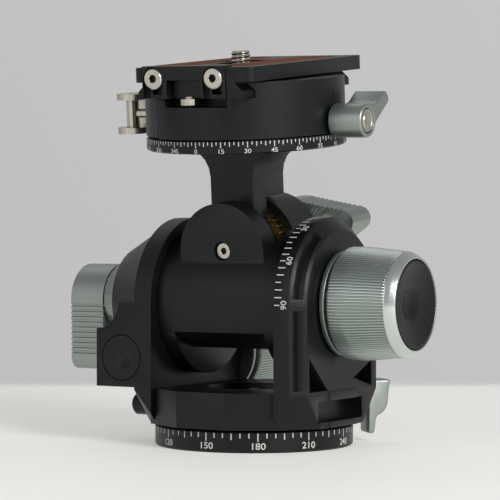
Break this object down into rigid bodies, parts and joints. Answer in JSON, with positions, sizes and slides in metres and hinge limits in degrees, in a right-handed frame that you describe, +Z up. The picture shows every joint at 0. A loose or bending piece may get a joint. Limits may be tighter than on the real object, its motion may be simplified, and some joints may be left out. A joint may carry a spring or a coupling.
{
  "type": "geared tripod head",
  "caption": "Two-axis geared camera tripod head on a panning base, with knurled drive knobs, release levers, a scaled arm and a panning quick-release clamp and plate.",
  "frame": {"origin": "on the pan axis, at the base's bottom face, where the tripod's screw enters", "axes": "+Z up along the pan axis, -Y towards the head's front, +X towards the roll knob"},
  "size_m": [0.127, 0.098, 0.1301],
  "materials": {
    "black_anodised": "satin black anodised",
    "grey_anodised": "grey-green anodised",
    "steel": "pale machined steel",
    "brass": "cut brass teeth",
    "bronze": "plain bearing bronze",
    "brown_rubber": "ribbed brown rubber"
  },
  "bodies": {
    "base": {"base_ring": "black_anodised", "base_thread_insert": "steel", "pan_retaining_ring": "steel", "retaining_screw_1": "steel", "retaining_screw_2": "steel", "retaining_screw_3": "steel"},
    "yoke": {"yoke_frame": "black_anodised", "worm_bore_cap": "black_anodised", "tilt_bearing_left": "bronze", "tilt_bearing_right": "bronze", "tilt_worm_bush_front": "bronze", "tilt_worm_bush_rear": "bronze"},
    "pan_lock": {"pan_lock_lever": "steel", "pan_lock_lever_screw": "steel"},
    "tilt_drive": {"tilt_worm": "steel", "tilt_knob": "grey_anodised", "tilt_knob_collar": "grey_anodised", "tilt_knob_cap": "black_anodised"},
    "drum": {"drum": "black_anodised", "tilt_shaft": "steel", "tilt_worm_wheel": "brass", "pivot_screw": "steel", "roll_bush_front": "bronze", "roll_bush_rear": "bronze", "roll_worm_sleeve": "bronze", "right_trunnion": "steel"},
    "tilt_release": {"tilt_release_lever": "grey_anodised", "tilt_release_lever_ring": "grey_anodised", "tilt_release_lever_screw": "steel"},
    "roll_drive": {"roll_worm": "steel", "roll_knob": "grey_anodised", "roll_knob_collar": "grey_anodised", "roll_knob_cap": "black_anodised"},
    "arm": {"arm": "black_anodised", "roll_worm_wheel": "brass", "roll_axle": "steel"},
    "roll_release": {"roll_release_lever": "grey_anodised", "roll_release_lever_ring": "grey_anodised", "roll_release_lever_screw": "steel"},
    "clamp": {"clamp_body": "black_anodised", "clamp_guide_pin_front": "steel", "clamp_guide_pin_rear": "steel", "tension_rod": "steel"},
    "clamp_lock": {"clamp_lock_lever": "grey_anodised", "clamp_lock_lever_screw": "steel"},
    "clamp_cam": {"cam_lever": "steel", "cam_pin": "steel"},
    "jaw": {"movable_jaw": "black_anodised"},
    "plate": {"quick_release_plate": "black_anodised", "grip_strip_left": "brown_rubber", "grip_strip_right": "brown_rubber", "stop_screw_front": "steel", "stop_screw_rear": "steel", "lip_screw_left": "steel", "lip_screw_right": "steel"},
    "lip": {"anti_twist_lip": "black_anodised"},
    "camera_screw": {"camera_screw": "steel"}
  },
  "joints": [
    {"name": "base_pan", "type": "hinge", "parent": "base", "child": "yoke", "pos_m": [0, 0, 0.0073], "axis": [0, 0, 1], "continuous": true},
    {"name": "pan_lock_turn", "type": "hinge", "parent": "yoke", "child": "pan_lock", "pos_m": [0.02673, 0.02673, 0.0152], "axis": [0.7071, 0.7071, 0], "range_deg": [0, 80]},
    {"name": "drum_tilt", "type": "hinge", "parent": "yoke", "child": "drum", "pos_m": [0, 0, 0.04666], "axis": [1, 0, 0], "range_deg": [-37.03, 82.97]},
    {"name": "tilt_knob_turn", "type": "hinge", "parent": "yoke", "child": "tilt_drive", "pos_m": [-0.034, 0, 0.0286], "axis": [0, 1, 0], "range_deg": [-2988, 1334]},
    {"name": "tilt_release_turn", "type": "hinge", "parent": "drum", "child": "tilt_release", "pos_m": [0, 0, 0.04666], "axis": [-1, 0, 0], "range_deg": [0, 60]},
    {"name": "arm_roll", "type": "hinge", "parent": "drum", "child": "arm", "pos_m": [0, -0.00233, 0.06552], "axis": [0, 0.9925, 0.1224], "range_deg": [-31.65, 28.35]},
    {"name": "roll_knob_turn", "type": "hinge", "parent": "drum", "child": "roll_drive", "pos_m": [0, 0, 0.04666], "axis": [1, 0, 0], "range_deg": [-1140, 1021]},
    {"name": "roll_release_turn", "type": "hinge", "parent": "drum", "child": "roll_release", "pos_m": [0, -0.00233, 0.06552], "axis": [0, 0.9925, 0.1224], "range_deg": [-60, 0]},
    {"name": "clamp_pan", "type": "hinge", "parent": "arm", "child": "clamp", "pos_m": [0.00106, -0.00684, 0.10212], "axis": [0.0288, -0.1223, 0.9921], "continuous": true},
    {"name": "clamp_lock_turn", "type": "hinge", "parent": "clamp", "child": "clamp_lock", "pos_m": [0.03416, -0.00719, 0.10495], "axis": [0.9996, 0.0035, -0.0286], "range_deg": [0, 75]},
    {"name": "clamp_cam_turn", "type": "hinge", "parent": "clamp", "child": "clamp_cam", "pos_m": [-0.04274, -0.00774, 0.10943], "axis": [0.0288, -0.1223, 0.9921], "range_deg": [0, 90]},
    {"name": "jaw_slide", "type": "slide", "parent": "clamp", "child": "jaw", "axis": [-0.9996, -0.0035, 0.0286], "range_m": [0, 0.002]},
    {"name": "plate_slide", "type": "slide", "parent": "clamp", "child": "plate", "axis": [0, 0.9925, 0.1224], "range_m": [-0.0007, 0.0007]},
    {"name": "lip_slide", "type": "slide", "parent": "plate", "child": "lip", "axis": [0.0288, -0.1223, 0.9921], "range_m": [0, 0.003]},
    {"name": "camera_screw_slide", "type": "slide", "parent": "plate", "child": "camera_screw", "axis": [0, 0.9925, 0.1224], "range_m": [-0.008, 0.008]}
  ],
  "couplings": [
    {"joint": "tilt_knob_turn", "follows": "drum_tilt", "ratio": -36},
    {"joint": "roll_knob_turn", "follows": "arm_roll", "ratio": 36},
    {"joint": "jaw_slide", "follows": "clamp_cam_turn", "m_per_rad": 0.0012732}
  ]
}
